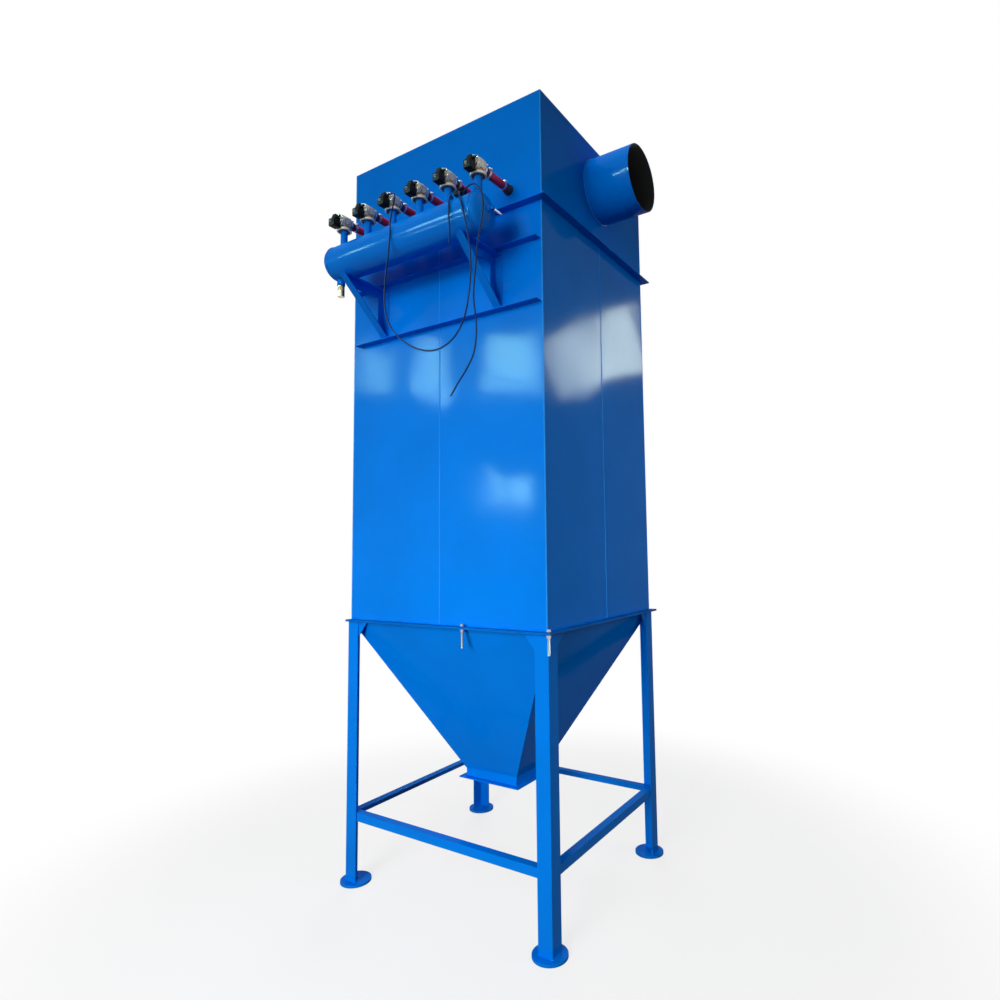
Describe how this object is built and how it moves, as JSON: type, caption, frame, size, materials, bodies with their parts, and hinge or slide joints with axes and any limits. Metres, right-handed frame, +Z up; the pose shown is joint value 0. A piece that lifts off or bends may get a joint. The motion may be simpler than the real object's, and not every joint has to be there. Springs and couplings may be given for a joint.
{
  "type": "pulse jet dust collector",
  "caption": "Free-standing pulse jet dust collector: tall rectangular filter casing and clean-air box over a pyramid hopper on angle legs, with a valve-topped air tank.",
  "frame": {"origin": "on the floor, at the middle of the four foot plates' anchor holes", "axes": "+Z up; the header tank and pulse valves face -Y, the clean-air outlet duct leaves towards +X"},
  "size_m": [1.49, 1.4084, 3.68],
  "materials": {
    "blue_enamel": "gloss enamel on sheet steel",
    "cast_aluminium": "as cast, blasted",
    "black_plastic": "moulded",
    "red_rubber": "smooth extruded",
    "black_cable": "smooth extruded",
    "brass": "turned"
  },
  "bodies": {
    "root": {"blow_hose_1": "red_rubber", "blow_hose_2": "red_rubber", "blow_hose_3": "red_rubber", "blow_hose_4": "red_rubber", "blow_hose_5": "red_rubber", "blow_hose_6": "red_rubber", "brace_back": "blue_enamel", "brace_front": "blue_enamel", "brace_left": "blue_enamel", "brace_right": "blue_enamel", "cable_clip": "black_plastic", "cable_loop": "black_cable", "cable_short": "black_cable", "cable_tail": "black_cable", "casing_flange": "blue_enamel", "clean_air_box": "blue_enamel", "drain_cock": "brass", "filter_casing": "blue_enamel", "front_rib_lower": "blue_enamel", "front_rib_upper": "blue_enamel", "header_tank": "blue_enamel", "hopper": "blue_enamel", "hopper_flange": "blue_enamel", "hopper_outlet_flange": "blue_enamel", "leg_back_left": "blue_enamel", "leg_back_right": "blue_enamel", "leg_front_left": "blue_enamel", "leg_front_right": "blue_enamel", "outlet_duct": "blue_enamel", "pulse_valve_1": "cast_aluminium", "pulse_valve_2": "cast_aluminium", "pulse_valve_3": "cast_aluminium", "pulse_valve_4": "cast_aluminium", "pulse_valve_5": "cast_aluminium", "pulse_valve_6": "cast_aluminium", "roof": "blue_enamel", "solenoid_coil_1": "black_plastic", "solenoid_coil_2": "black_plastic", "solenoid_coil_3": "black_plastic", "solenoid_coil_4": "black_plastic", "solenoid_coil_5": "black_plastic", "solenoid_coil_6": "black_plastic", "tank_bracket_left": "blue_enamel", "tank_bracket_right": "blue_enamel", "tubesheet": "blue_enamel"}
  },
  "joints": []
}
